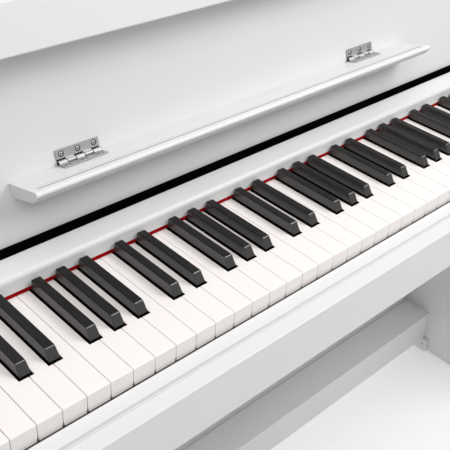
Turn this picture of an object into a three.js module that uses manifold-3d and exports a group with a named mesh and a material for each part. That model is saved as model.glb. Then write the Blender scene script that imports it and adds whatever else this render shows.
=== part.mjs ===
// An 88-key digital piano built into a flat-pack furniture stand, with a folding lid that
// carries a hinged music ledge. Millimetres, +Z up, front towards -Y, origin on the floor
// at the middle of the footprint.
import * as THREE from "three";
import { mergeVertices } from "three/addons/utils/BufferGeometryUtils.js";
import Module from "manifold-3d";

const wasm = await Module();
wasm.setup();

// ---- driving dimensions ----
const GAP = 0.3; // assembly gap between touching pieces
const BOARD = 18; // thickness of the painted boards
const INNER_HALF = 667.5; // half the space between the side panels
const DEPTH_FRONT = 36.5; // side panels reach this far in front of the key fronts
const DEPTH_REAR = 338; // and this far behind them
const KEY_TOP = 734; // white key top above the floor
const CABINET_TOP = 51.2; // top board above the white key top
const GLIDE = 2.7; // thickness of the strips under the side panels

// keyboard
const PITCH = 23.5; // white key pitch
const WHITE_COUNT = 52;
const KEY_GAP = 1; // between two white keys
const WHITE_VISIBLE = 147;
const KEY_LENGTH = 235;
const KEY_THICK = 13;
const SKIRT = { depth: 8, drop: 20 }; // turned-down front of a white key
const BLACK = { front: 50, rear: 146.4, half: 6.7, topHalf: 4.8, height: 12, nose: 8, drop: 6 };
const NOTCH_HALF = 7.2; // half the slot that the white keys leave for a black key
const BLACK_OFFSET = { C: -2.1, D: 2.8, F: -2.9, G: 0, A: 2.9 }; // from the white boundary
const LETTERS = ["A", "B", "C", "D", "E", "F", "G"];
const FIRST_OCTAVE_KEY = 16; // white key number of C3, the first separately hinged key
const LAST_OCTAVE_KEY = 22;
const KEYBOARD_HALF = (PITCH * WHITE_COUNT) / 2;

// cabinet around the keys, heights from the white key top
const APRON = { top: -22.2, bottom: -82 };
const SLIP = { top: -17, front: -17.2, back: -2.6, round: 1.5 };
const BED = { top: -36, bottom: -54 };
const CHEEK = { top: 24, clearance: 1.2 }; // blocks at both ends of the keyboard
const FASCIA = { front: 147.8, back: 175, bottom: 3.8, lip: 17, round: 5, top: 25 };
const FELT_STRIP = { low: 0.35, depth: 8 };
const RAIL = { front: 177.8, step: 208, back: 240, low: 20 };
const TOP_BOARD_FRONT = { lower: 202.6, upper: 207.4 }; // its front edge lies along the open lid
const CONTROL = { x: 640, y: 95, button: 8, knob: 13, shaft: 3, floor: 6, proud: 4 };
const SOCKETS = { left: -560, right: -430, low: -45, high: 5, front: 322, back: 336, depth: 9 };
const SOCKET_PORTS = [{ x: -540, half: 5.5 }, { x: -505, half: 6.5 }, { x: -465, half: 5.5 }];
const SOCKET_PORT = { low: -25, high: -15 };

// inside the cabinet
const SPEAKER = { x: 520, y: 286, throat: 25, flange: 30, magnet: 18, top: -4 };
const CHASSIS = { front: 4, back: 246, web: 2, fulcrum: [226, 236], stop: [20, 26], stopHeight: 11 };
const CONTACTS = { half: 600, front: 100, back: 140, thick: 1.6 };
const MAIN_BOARD = { half: 200, front: 256, back: 314, low: -30, thick: 1.6 };
const SET_BAR = { front: 152, back: 158, rearGap: 2, depth: 6 }; // joins a run of keys

// lid, in its own frame: z up the board, y through it, inner face at y = 0
const PIVOT = { y: 179, z: 30 };
const LID_FOOT = { y: 182.2, z: 29.6 }; // lower inner edge of the open lid
const LEAN = THREE.MathUtils.degToRad(15);
const LID = { half: 665.5, height: 227.5 };
const LIP = { start: 181.2, proud: 48.5 };
const LEDGE = { half: 298.5, top: 60, thick: 14.5, depth: 51, back: -0.4 };
const LEDGE_NOSE = { lip: 2.5, undercut: 9.5, thick: 11.5 }; // the underside rises to the front
const GROOVE = { back: 35, front: 41.5, end: 7, deep: 1.5 };
const LEDGE_HINGE = { length: 50, y: -2.8, z: 62.8, radius: 2.3, pin: 1.1, leaf: 10.5, sheet: 1.2 };
const LEDGE_HINGE_CENTRES = { left: -221, right: 212 };
const LEDGE_KNUCKLES = 5;
const LID_HINGE = { half: 600, segments: 10, radius: 2.6, pin: 1.1, sheet: 1.5, low: 6, high: 26.5 };
const LID_WING = { low: 0.6, high: 14 }; // the moving leaf's height up the lid
const PIN_CLEARANCE = 0.3;

// stand, heights from the floor
const PANEL_FOOT_FRONT = 40;
const PANEL_CORNER = 24; // radius of the side panels' upper front corner
const STRIP = { inner: 3, outer: 15, front: 50, back: 330 }; // under each side panel
const FOOT_BLOCK = { inner: 657.5, front: 246.5, back: 279 };
const BACK_BOARD = 9;
const BEAM = { front: 259, back: 321, bottom: 31, top: 99, frontWall: 15, wall: 8, bayHalf: 128 };
const PEDAL = { spacing: 65, axleY: 300, axleZ: 62, axle: 4, hub: 8, tip: 178 };
const PEDAL_PLAN = { shank: 8, neckY: 236, bladeY: 214, bladeRear: 13.5, bladeHalf: 14.5, round: 14 };
const PEDAL_SLOT = { half: 18, top: 72 };
const BRACKET = { half: 119.5, front: 277, back: 305, sheet: 3, earHalf: 1.5, earFront: 9, earBack: 5 };
const ADJUSTER = { x: 108, y: 285, disc: 14, discTop: 8, shaft: 4, hole: 4.6, low: 1, top: 48 };

// ---- colours ----
const finish = (color, roughness, metalness = 0) =>
  new THREE.MeshStandardMaterial({ color, roughness, metalness });
const PAINT = finish(0xe6e6e7, 0.45);
const IVORY = finish(0xf6efec, 0.25);
const EBONY = finish(0x1c1b1b, 0.4);
const RED_FELT = finish(0x97090f, 0.95);
const NICKEL = finish(0x9fa0a2, 0.3, 1);
const BLACK_STEEL = finish(0x0a0a0a, 0.5, 1);
const ZINC = finish(0xa9abad, 0.4, 1);
const CHROME = finish(0xd0d0d2, 0.12, 1);
const BOARD_GREEN = finish(0x14512c, 0.5);
const BLACK_PLASTIC = finish(0x161616, 0.5);
const GREY_PLASTIC = finish(0xb9babc, 0.5);

// ---- shapes ----
const X_EXTRUSION = new THREE.Matrix4().makeBasis(
  new THREE.Vector3(0, 1, 0),
  new THREE.Vector3(0, 0, 1),
  new THREE.Vector3(1, 0, 0),
);

function block(x0, x1, y0, y1, z0, z1) {
  const geometry = new THREE.BoxGeometry(x1 - x0, y1 - y0, z1 - z0);
  return geometry.translate((x0 + x1) / 2, (y0 + y1) / 2, (z0 + z1) / 2);
}

// A closed outline of [y, z] points, drawn out along X.
function bar(outline, x0, x1) {
  const shape = new THREE.Shape(outline.map(([y, z]) => new THREE.Vector2(y, z)));
  const options = { depth: x1 - x0, bevelEnabled: false, curveSegments: 8 };
  return new THREE.ExtrudeGeometry(shape, options).applyMatrix4(X_EXTRUSION).translate(x0, 0, 0);
}

function rod(radius, x0, x1, y, z, sides = 16) {
  const geometry = new THREE.CylinderGeometry(radius, radius, x1 - x0, sides);
  return geometry.rotateZ(-Math.PI / 2).translate((x0 + x1) / 2, y, z);
}

function upright(radius, x, y, z0, z1, sides = 24) {
  const geometry = new THREE.CylinderGeometry(radius, radius, z1 - z0, sides);
  return geometry.rotateX(Math.PI / 2).translate(x, y, (z0 + z1) / 2);
}

// Points of a quarter round, from one angle to another in degrees.
function arc(y, z, radius, from, to, steps = 5) {
  return Array.from({ length: steps + 1 }, (_, i) => {
    const angle = THREE.MathUtils.degToRad(from + ((to - from) * i) / steps);
    return [y + radius * Math.cos(angle), z + radius * Math.sin(angle)];
  });
}

// ---- solid joins and cuts ----
function solid(geometry) {
  const plain = geometry.clone();
  plain.deleteAttribute("normal");
  plain.deleteAttribute("uv");
  const merged = mergeVertices(plain, 1e-4);
  return new wasm.Manifold(
    new wasm.Mesh({
      numProp: 3,
      vertProperties: new Float32Array(merged.attributes.position.array),
      triVerts: new Uint32Array(merged.index.array),
    }),
  );
}

function surface(manifold) {
  const mesh = manifold.getMesh();
  const geometry = new THREE.BufferGeometry();
  geometry.setAttribute("position", new THREE.BufferAttribute(mesh.vertProperties, 3));
  geometry.setIndex(new THREE.BufferAttribute(mesh.triVerts, 1));
  return geometry;
}

const join = (...pieces) => surface(pieces.map(solid).reduce((sum, piece) => sum.add(piece)));

const cut = (body, ...tools) =>
  surface(tools.map(solid).reduce((rest, tool) => rest.subtract(tool), solid(body)));

const common = (a, b) => surface(solid(a).intersect(solid(b)));

// ---- scene ----
const piano = new THREE.Group();
const stand = new THREE.Group(); // heights from the floor, y from the key fronts
const keyLevel = new THREE.Group(); // the same, with heights from the white key top
const lid = new THREE.Group();
const frontY = -(DEPTH_REAR - DEPTH_FRONT) / 2;
stand.position.set(0, frontY, 0);
keyLevel.position.set(0, frontY, KEY_TOP);
lid.position.set(0, LID_FOOT.y, LID_FOOT.z);
lid.rotation.x = -LEAN;
keyLevel.add(lid);
piano.add(stand, keyLevel);

function add(group, name, geometry, material) {
  const mesh = new THREE.Mesh(geometry, material);
  mesh.name = name;
  group.add(mesh);
}

const SIDES = [["left", -1], ["right", 1]];
const WIDTH = INNER_HALF - GAP; // boards that span from side to side

function mirrored(side, near, far, ...rest) {
  return side < 0 ? block(-far, -near, ...rest) : block(near, far, ...rest);
}

// ---- stand ----
function addSidePanels() {
  const top = KEY_TOP + CABINET_TOP;
  const bottom = GLIDE + GAP;
  const outline = [
    [PANEL_FOOT_FRONT, bottom],
    [DEPTH_REAR, bottom],
    [DEPTH_REAR, top],
    ...arc(PANEL_CORNER - DEPTH_FRONT, top - PANEL_CORNER, PANEL_CORNER, 90, 180),
    [-DEPTH_FRONT, KEY_TOP + APRON.bottom],
  ];
  for (const [label, side] of SIDES) {
    const outer = side * (INNER_HALF + BOARD);
    const inner = side * INNER_HALF;
    const panel = bar(outline, Math.min(inner, outer), Math.max(inner, outer));
    add(stand, `${label}_side_panel`, panel, PAINT);
    const stripSpan = [INNER_HALF + STRIP.inner, INNER_HALF + STRIP.outer, STRIP.front, STRIP.back];
    add(stand, `${label}_glide_strip`, mirrored(side, ...stripSpan, 0, GLIDE), GREY_PLASTIC);
    const footSpan = [FOOT_BLOCK.inner, WIDTH, FOOT_BLOCK.front, FOOT_BLOCK.back];
    add(stand, `${label}_foot_block`, mirrored(side, ...footSpan, bottom, BEAM.bottom - GAP), PAINT);
  }
}

function addBackBoard() {
  const top = KEY_TOP + APRON.bottom - GAP;
  const front = BEAM.back + GAP;
  const board = block(-WIDTH, WIDTH, front, front + BACK_BOARD, BEAM.bottom, top);
  add(stand, "back_board", board, PAINT);
}

function addPedalBeam() {
  const { front, back, bottom, top, frontWall, wall, bayHalf } = BEAM;
  const body = block(-WIDTH, WIDTH, front, back, bottom, top);
  const bay = block(-bayHalf, bayHalf, front + frontWall, back - wall, bottom - 1, top - BOARD);
  const slots = [-1, 0, 1].map((i) => {
    const x = i * PEDAL.spacing;
    const span = [x - PEDAL_SLOT.half, x + PEDAL_SLOT.half, front - 1, front + frontWall + 1];
    return block(...span, bottom - 1, PEDAL_SLOT.top);
  });
  add(stand, "pedal_beam", cut(body, bay, ...slots), PAINT);
}

function addPedalBracket() {
  const { half, front, back, sheet, earHalf, earFront, earBack } = BRACKET;
  const { spacing, axleY, axleZ, axle, hub } = PEDAL;
  const floor = BEAM.bottom + GAP;
  const plate = block(-half, half, front, back, floor, floor + sheet);
  const ears = [-1.5, -0.5, 0.5, 1.5].map((i) => {
    const x = i * spacing;
    const span = [x - earHalf, x + earHalf, axleY - earFront, axleY + earBack];
    return block(...span, floor + sheet - 1, axleZ + hub);
  });
  const reach = 1.5 * spacing;
  const bore = rod(axle + PIN_CLEARANCE, -reach - 10, reach + 10, axleY, axleZ);
  const screwHoles = SIDES.map(([, side]) =>
    upright(ADJUSTER.hole, side * ADJUSTER.x, ADJUSTER.y, floor - 1, floor + sheet + 1, 16));
  add(stand, "pedal_bracket", cut(join(plate, ...ears), bore, ...screwHoles), ZINC);
  add(stand, "pedal_axle", rod(axle, -reach - 8, reach + 8, axleY, axleZ), ZINC);
}

// A pedal in plan: a straight shank that widens to a blade with a rounded tip.
function pedalPlan() {
  const { axleY, axleZ, hub, tip } = PEDAL;
  const { shank, neckY, bladeY, bladeRear, bladeHalf, round } = PEDAL_PLAN;
  const outline = new THREE.Shape();
  outline.moveTo(-shank, axleY + hub);
  outline.lineTo(-shank, neckY);
  outline.quadraticCurveTo(-shank, (neckY + bladeY) / 2, -bladeRear, bladeY);
  outline.lineTo(-bladeHalf, tip + round);
  outline.quadraticCurveTo(-bladeHalf, tip, 0, tip);
  outline.quadraticCurveTo(bladeHalf, tip, bladeHalf, tip + round);
  outline.lineTo(bladeRear, bladeY);
  outline.quadraticCurveTo(shank, (neckY + bladeY) / 2, shank, neckY);
  outline.lineTo(shank, axleY + hub);
  const options = { depth: axleZ, bevelEnabled: false, curveSegments: 4 };
  return new THREE.ExtrudeGeometry(outline, options).translate(0, 0, axleZ / 2);
}

function addPedals() {
  const { spacing, axleY, axleZ, axle, hub, tip } = PEDAL;
  const bend = BEAM.front - 4;
  const profile = [
    [axleY, axleZ - hub],
    ...arc(axleY, axleZ, hub, -60, 90, 5),
    [bend, axleZ + 4],
    [tip + 20, axleZ - 2],
    [tip, axleZ - 8],
    [tip, axleZ - 14],
    [tip + 22, axleZ - 9],
    [bend, axleZ - 4],
  ];
  const half = PEDAL_PLAN.bladeHalf + 1;
  const bore = rod(axle + PIN_CLEARANCE, -half, half, axleY, axleZ);
  const lever = cut(common(pedalPlan(), bar(profile, -half, half)), bore);
  const names = ["soft_pedal", "sostenuto_pedal", "sustain_pedal"];
  names.forEach((name, i) => {
    add(stand, name, lever.clone().translate((i - 1) * spacing, 0, 0), CHROME);
  });
}

function addAdjusterFeet() {
  const { y, disc, discTop, shaft, low, top } = ADJUSTER;
  for (const [label, side] of SIDES) {
    const x = side * ADJUSTER.x;
    const foot = join(upright(disc, x, y, low, discTop), upright(shaft, x, y, discTop - 1, top, 16));
    add(stand, `${label}_adjuster_foot`, foot, BLACK_PLASTIC);
  }
}

// ---- cabinet ----
function addKeyBed() {
  const { x, y, throat } = SPEAKER;
  const hole = (side) => upright(throat + GAP, side * x, y, BED.bottom - 1, BED.top + 1);
  const front = BOARD - DEPTH_FRONT + GAP;
  const bed = block(-WIDTH, WIDTH, front, DEPTH_REAR - BOARD - GAP, BED.bottom, BED.top);
  add(keyLevel, "key_bed", cut(bed, hole(-1), hole(1)), PAINT);
}

function addFrontRails() {
  const apronBack = BOARD - DEPTH_FRONT;
  const apron = block(-WIDTH, WIDTH, -DEPTH_FRONT, apronBack, APRON.bottom, APRON.top);
  add(keyLevel, "apron", apron, PAINT);
  const slip = [
    [SLIP.front, APRON.top],
    [apronBack + GAP, APRON.top],
    [apronBack + GAP, BED.top + GAP],
    [SLIP.back, BED.top + GAP],
    ...arc(SLIP.back - SLIP.round, SLIP.top - SLIP.round, SLIP.round, 0, 90, 3),
    [SLIP.front, SLIP.top],
  ];
  add(keyLevel, "key_slip", bar(slip, -WIDTH, WIDTH), PAINT);
}

function addCheeks() {
  const { x, y, button, shaft, floor } = CONTROL;
  const pocket = upright(button + GAP, x, y, floor, CHEEK.top + 1);
  const shaftHole = upright(shaft + GAP, -x, y, floor, CHEEK.top + 1);
  const holes = { left: shaftHole, right: pocket };
  for (const [label, side] of SIDES) {
    const span = [SLIP.back + GAP, FASCIA.front - GAP, BED.top + GAP, CHEEK.top];
    const cheek = mirrored(side, KEYBOARD_HALF + CHEEK.clearance, WIDTH, ...span);
    add(keyLevel, `${label}_cheek_block`, cut(cheek, holes[label]), PAINT);
  }
}

function addControls() {
  const { x, y, button, knob, shaft, floor, proud } = CONTROL;
  const travel = upright(button, x, y, floor + proud, CHEEK.top + proud);
  add(keyLevel, "power_button", travel, BLACK_PLASTIC);
  const cap = upright(knob, -x, y, CHEEK.top + GAP + 0.5, CHEEK.top + 7);
  const spindle = upright(shaft, -x, y, floor + 2, CHEEK.top + 2, 16);
  add(keyLevel, "volume_knob", join(cap, spindle), BLACK_PLASTIC);
}

function addFascia() {
  const { front, back, bottom, lip, round, top } = FASCIA;
  const outline = [
    [front, bottom],
    [back, bottom],
    [back, top],
    ...arc(front + round, lip, round, 100, 180, 4),
  ];
  add(keyLevel, "fascia_board", bar(outline, -WIDTH, WIDTH), PAINT);
  const stripBack = WHITE_VISIBLE + FELT_STRIP.depth;
  const stripSpan = [-KEYBOARD_HALF, KEYBOARD_HALF, WHITE_VISIBLE, stripBack];
  add(keyLevel, "felt_strip", block(...stripSpan, FELT_STRIP.low, bottom - GAP), RED_FELT);
}

function addTop() {
  const railTop = CABINET_TOP - BOARD - GAP;
  const rail = [
    [RAIL.front, FASCIA.bottom],
    [RAIL.back, FASCIA.bottom],
    [RAIL.back, railTop],
    [RAIL.step, railTop],
    [RAIL.step, RAIL.low],
    [RAIL.front, RAIL.low],
  ];
  add(keyLevel, "hinge_rail", bar(rail, -WIDTH, WIDTH), PAINT);
  const under = CABINET_TOP - BOARD;
  const board = [
    [TOP_BOARD_FRONT.lower, under],
    [DEPTH_REAR, under],
    [DEPTH_REAR, CABINET_TOP],
    [TOP_BOARD_FRONT.upper, CABINET_TOP],
  ];
  add(keyLevel, "top_board", bar(board, -WIDTH, WIDTH), PAINT);
}

function addRearPanel() {
  const { left, right, low, high, front, back, depth } = SOCKETS;
  const inner = DEPTH_REAR - BOARD;
  const panel = block(-WIDTH, WIDTH, inner, DEPTH_REAR, APRON.bottom, CABINET_TOP - BOARD - GAP);
  const span = [left - GAP, right + GAP, inner - 1, DEPTH_REAR + 1];
  add(keyLevel, "rear_panel", cut(panel, block(...span, low - GAP, high + GAP)), PAINT);
  const ports = SOCKET_PORTS.map(({ x, half }) =>
    block(x - half, x + half, back - depth, back + 1, SOCKET_PORT.low, SOCKET_PORT.high));
  const plate = block(left, right, front, back, low, high);
  add(keyLevel, "socket_plate", cut(plate, ...ports), BLACK_PLASTIC);
}

// ---- inside the cabinet ----
function addSpeakers() {
  const { throat, flange, magnet, top } = SPEAKER;
  const seat = BED.top + GAP;
  const profile = [
    [0, BED.bottom + 6],
    [throat - 3, BED.bottom + 1],
    [throat, BED.bottom + 1],
    [throat, seat],
    [flange, seat],
    [flange, seat + 3],
    [magnet, top - 10],
    [magnet, top],
    [0, top],
  ];
  for (const [label, side] of SIDES) {
    const driver = new THREE.LatheGeometry(profile.map(([r, z]) => new THREE.Vector2(r, z)), 24);
    driver.rotateX(Math.PI / 2).translate(side * SPEAKER.x, SPEAKER.y, 0);
    add(keyLevel, `${label}_speaker`, driver, BLACK_PLASTIC);
  }
}

function addKeyChassis() {
  const { front, back, web, fulcrum, stop, stopHeight } = CHASSIS;
  const floor = BED.top + GAP;
  const fulcrumTop = -KEY_THICK - 0.9;
  const outline = [
    [front, floor],
    [back, floor],
    [back, floor + web],
    [fulcrum[1], floor + web],
    [fulcrum[1], fulcrumTop],
    [fulcrum[0], fulcrumTop],
    [fulcrum[0], floor + web],
    [stop[1], floor + web],
    [stop[1], floor + stopHeight],
    [stop[0], floor + stopHeight],
    [stop[0], floor + web],
    [front, floor + web],
  ];
  add(keyLevel, "key_chassis", bar(outline, -KEYBOARD_HALF, KEYBOARD_HALF), ZINC);
  const contactFloor = floor + web + GAP;
  const contactSpan = [-CONTACTS.half, CONTACTS.half, CONTACTS.front, CONTACTS.back];
  const contacts = block(...contactSpan, contactFloor, contactFloor + CONTACTS.thick);
  add(keyLevel, "contact_board", contacts, BOARD_GREEN);
  const { half, low, thick } = MAIN_BOARD;
  const main = block(-half, half, MAIN_BOARD.front, MAIN_BOARD.back, low, low + thick);
  add(keyLevel, "main_board", main, BOARD_GREEN);
}

// ---- keys ----
const letter = (white) => LETTERS[white % LETTERS.length];
const boundary = (white) => -KEYBOARD_HALF + white * PITCH; // left edge of a white key's pitch

// X of the black key to the right of a white key, or null where there is none.
function blackAfter(white) {
  const offset = BLACK_OFFSET[letter(white)];
  const exists = offset !== undefined && white >= 0 && white < WHITE_COUNT - 1;
  return exists ? boundary(white + 1) + offset : null;
}

function whiteKey(white) {
  const x0 = boundary(white) + KEY_GAP / 2;
  const x1 = boundary(white + 1) - KEY_GAP / 2;
  const outline = [
    [0, -SKIRT.drop],
    [SKIRT.depth, -SKIRT.drop],
    [SKIRT.depth, -KEY_THICK],
    [KEY_LENGTH, -KEY_THICK],
    [KEY_LENGTH, 0],
    [0, 0],
  ];
  const notches = [white - 1, white].map(blackAfter).filter((x) => x !== null);
  const tools = notches.map((x) =>
    block(x - NOTCH_HALF, x + NOTCH_HALF, BLACK.front - 0.6, KEY_LENGTH + 1, -SKIRT.drop - 1, 1));
  return cut(bar(outline, x0, x1), ...tools);
}

// A black key: a tapered top with a sloping nose on a flat tail that runs back to the pivot.
function blackKey(x, tailEnd = KEY_LENGTH) {
  const { front, rear, half, topHalf, height, nose, drop } = BLACK;
  const tail = block(x - half, x + half, front, tailEnd, -drop, 0);
  const top = new THREE.BoxGeometry(1, 1, 1);
  const corners = top.attributes.position;
  for (let i = 0; i < corners.count; i += 1) {
    const upper = corners.getZ(i) > 0;
    const spread = upper ? topHalf : half;
    const noseY = upper ? front + nose : front;
    const y = corners.getY(i) > 0 ? rear : noseY;
    corners.setXYZ(i, x + Math.sign(corners.getX(i)) * spread, y, upper ? height : -1);
  }
  return join(tail, top);
}

function addMovingOctave() {
  for (let white = FIRST_OCTAVE_KEY; white <= LAST_OCTAVE_KEY; white += 1) {
    const name = letter(white).toLowerCase();
    add(keyLevel, `key_${name}`, whiteKey(white), IVORY);
    const x = blackAfter(white);
    if (x !== null) add(keyLevel, `key_${name}_sharp`, blackKey(x), EBONY);
  }
}

// A run of keys on a common bar, as the moulded key sets of the rest of the keyboard.
function addKeySet(label, first, last) {
  const keys = Array.from({ length: last - first + 1 }, (_, i) => first + i);
  const blackXs = keys.map(blackAfter).filter((x) => x !== null);
  const left = boundary(first) + KEY_GAP;
  const right = boundary(last + 1) - KEY_GAP;
  const { front, back, rearGap, depth } = SET_BAR;
  const whiteBar = block(left, right, front, back, -SKIRT.drop, 1 - KEY_THICK);
  const blackFront = KEY_LENGTH + rearGap;
  const blackBack = blackFront + depth;
  const blackBar = block(blackXs[0], blackXs.at(-1), blackFront, blackBack, -BLACK.drop, 0);
  const blacks = blackXs.map((x) => blackKey(x, blackBack));
  add(keyLevel, `white_keys_${label}`, join(whiteBar, ...keys.map(whiteKey)), IVORY);
  add(keyLevel, `black_keys_${label}`, join(blackBar, ...blacks), EBONY);
}

// ---- lid ----
function addLid() {
  const { half, height } = LID;
  add(lid, "lid_board", block(-half, half, 0, BOARD, 0, height), PAINT);
  add(lid, "lid_lip", block(-half, half, -LIP.proud, -GAP, LIP.start, height), PAINT);
}

// Every second knuckle belongs to the other leaf, so a leaf is built from its own set.
function knuckles({ from, to, count, parity, radius, y, z }) {
  const pitch = (to - from) / count;
  const rings = [];
  for (let i = parity; i < count; i += 2) {
    const start = from + i * pitch + GAP / 2;
    rings.push(rod(radius, start, start + pitch - GAP, y, z, 12));
  }
  return rings;
}

// The fixed leaf is on the cabinet, and the moving one is laid out in the leaning lid.
function addLidHinge() {
  const { half, segments, radius, pin, sheet, low, high } = LID_HINGE;
  const { y, z } = PIVOT;
  const run = { from: -half, to: half, count: segments, radius };
  const pitch = (2 * half) / segments;
  const tabSpan = (i) => [i * pitch - half + GAP / 2, (i + 1) * pitch - half - GAP / 2];
  const bore = (centre) => rod(pin + PIN_CLEARANCE, -half - 1, half + 1, centre.y, centre.z, 12);

  const fixedRings = knuckles({ ...run, parity: 0, y, z });
  const front = FASCIA.back + GAP;
  const leaf = block(-half, half, front, front + sheet, low, high);
  const fixedTabs = fixedRings.map((_, i) =>
    block(...tabSpan(2 * i), front, front + sheet, high - 0.5, z));
  const fixed = cut(join(leaf, ...fixedTabs, ...fixedRings), bore(PIVOT));
  add(keyLevel, "lid_hinge_fixed_leaf", fixed, BLACK_STEEL);
  add(keyLevel, "lid_hinge_pin", rod(pin, -half, half, y, z, 12), BLACK_STEEL);

  const pivotInLid = new THREE.Vector3(0, y - LID_FOOT.y, z - LID_FOOT.z);
  pivotInLid.applyAxisAngle(new THREE.Vector3(1, 0, 0), LEAN);
  const movingRings = knuckles({ ...run, parity: 1, y: pivotInLid.y, z: pivotInLid.z });
  const movingTabs = movingRings.map((_, i) =>
    block(...tabSpan(2 * i + 1), pivotInLid.y, 1, -sheet, -GAP));
  const wing = block(-half, half, LID_WING.low, LID_WING.high, -sheet, -GAP);
  const moving = cut(join(wing, ...movingTabs, ...movingRings), bore(pivotInLid));
  add(lid, "lid_hinge_moving_leaf", moving, BLACK_STEEL);
}

// ---- music ledge ----
function addLedge() {
  const { half, top, thick, depth, back } = LEDGE;
  const { lip, undercut } = LEDGE_NOSE;
  const outline = [
    [back, top],
    [back, top - thick + 3],
    [back - 3, top - thick],
    [undercut - depth, top - LEDGE_NOSE.thick],
    [-depth, top - lip],
    [-depth, top],
  ];
  const tray = bar(outline, -half, half);
  const span = [GROOVE.end - half, half - GROOVE.end, -GROOVE.front, -GROOVE.back];
  add(lid, "music_ledge", cut(tray, block(...span, top - GROOVE.deep, top + 1)), PAINT);
}

function addLedgeHinges() {
  const { length, y, z, radius, pin, leaf, sheet } = LEDGE_HINGE;
  const pitch = length / LEDGE_KNUCKLES;
  const lowZ = LEDGE.top + GAP;
  for (const [label, centre] of Object.entries(LEDGE_HINGE_CENTRES)) {
    const from = centre - length / 2;
    const to = from + length;
    const run = { from, to, count: LEDGE_KNUCKLES, radius, y, z };
    const bore = rod(pin + PIN_CLEARANCE, from - 1, to + 1, y, z, 12);
    const tabSpan = (i) => [from + i * pitch + GAP / 2, from + (i + 1) * pitch - GAP / 2];

    const upperPlate = block(from, to, -GAP - sheet, -GAP, z + radius + 0.4, z + radius + leaf);
    const upperTabs = [1, 3].map((i) =>
      block(...tabSpan(i), -GAP - sheet, -GAP, z, z + radius + 1));
    const upper = cut(join(upperPlate, ...upperTabs, ...knuckles({ ...run, parity: 1 })), bore);
    const [webFrom, webTo] = tabSpan(1);
    const webDepth = [y - radius + 0.6, y - pin + 0.2];
    const web = block(webFrom + 1, webTo - 1, ...webDepth, z - 0.4, z + 0.4); // holds the pin
    const upperLeaf = join(upper, rod(pin, from, to, y, z, 12), web);
    add(lid, `${label}_ledge_hinge_upper_leaf`, upperLeaf, NICKEL);

    const lowerBack = y - radius - 0.4;
    const lowerPlate = block(from, to, y - radius - leaf, lowerBack, lowZ, lowZ + sheet);
    const lowerTabs = [0, 2, 4].map((i) =>
      block(...tabSpan(i), y - radius - 1, y, lowZ, lowZ + sheet));
    const lower = cut(join(lowerPlate, ...lowerTabs, ...knuckles({ ...run, parity: 0 })), bore);
    add(lid, `${label}_ledge_hinge_lower_leaf`, lower, NICKEL);
  }
}

addSidePanels();
addBackBoard();
addPedalBeam();
addPedalBracket();
addPedals();
addAdjusterFeet();
addKeyBed();
addFrontRails();
addCheeks();
addControls();
addFascia();
addTop();
addRearPanel();
addSpeakers();
addKeyChassis();
addMovingOctave();
addKeySet("low", 0, FIRST_OCTAVE_KEY - 1);
addKeySet("high", LAST_OCTAVE_KEY + 1, WHITE_COUNT - 1);
addLid();
addLidHinge();
addLedge();
addLedgeHinges();

export default piano;
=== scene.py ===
"""The looks of a white digital piano on its stand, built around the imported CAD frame.

Lengths in this script are millimetres, placed from the frame's own boxes and scaled to metres
as each mesh is made. Key-level pieces are measured from the white key tops and the key fronts,
and lid pieces in the leaning frame of the open lid.
"""
import math
import random

import bmesh
import bpy
from mathutils import Matrix, Vector


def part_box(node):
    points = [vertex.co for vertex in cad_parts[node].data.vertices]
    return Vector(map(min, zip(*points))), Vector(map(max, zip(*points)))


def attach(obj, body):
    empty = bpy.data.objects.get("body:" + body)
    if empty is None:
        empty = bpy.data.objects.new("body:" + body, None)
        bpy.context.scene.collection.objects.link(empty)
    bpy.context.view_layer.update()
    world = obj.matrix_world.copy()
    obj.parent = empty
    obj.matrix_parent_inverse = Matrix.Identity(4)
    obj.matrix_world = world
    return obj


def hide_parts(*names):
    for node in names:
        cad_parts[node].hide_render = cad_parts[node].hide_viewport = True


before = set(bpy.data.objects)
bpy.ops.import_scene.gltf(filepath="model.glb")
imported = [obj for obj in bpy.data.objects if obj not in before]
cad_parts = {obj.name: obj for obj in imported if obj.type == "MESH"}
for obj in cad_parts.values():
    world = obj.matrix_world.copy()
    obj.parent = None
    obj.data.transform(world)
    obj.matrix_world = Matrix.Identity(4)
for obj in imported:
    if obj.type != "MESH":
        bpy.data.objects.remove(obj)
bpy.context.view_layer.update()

MM = 0.001
RNG = random.Random(88)

# ---- places taken from the frame ----
def spans(node, y=0.0, z=0.0):
    """A CAD node's extent as x0, x1, y0, y1, z0, z1, in millimetres from a Y and a Z in metres."""
    low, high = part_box(node)
    return (low.x / MM, high.x / MM, (low.y - y) / MM, (high.y - y) / MM,
            (low.z - z) / MM, (high.z - z) / MM)


def key_level_spans(node):
    """The same, measured from the white key fronts and the white key tops."""
    return spans(node, KEY_LOW.y, KEY_HIGH.z)


KEY_LOW, KEY_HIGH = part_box("key_c")
KEY_LEVEL = Matrix.Translation((0, KEY_LOW.y, KEY_HIGH.z))
KEYS_LEFT, KEYS_RIGHT = spans("felt_strip")[:2]
WHITE_COUNT = 52
PITCH = (KEYS_RIGHT - KEYS_LEFT) / WHITE_COUNT

BOARD = 18.0
LEAN = math.radians(15)
LID_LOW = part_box("lid_board")[0]
LID_FOOT = Vector((0, LID_LOW.y, LID_LOW.z + BOARD * MM * math.sin(LEAN)))
LID_FRAME = Matrix.Translation(LID_FOOT) @ Matrix.Rotation(-LEAN, 4, "X")
WORLD = Matrix.Identity(4)


# ---- mesh helpers ----
def at(place, x, y, z):
    """A point given in millimetres in one of the frames, in metres."""
    return place @ Vector((x * MM, y * MM, z * MM))


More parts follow.
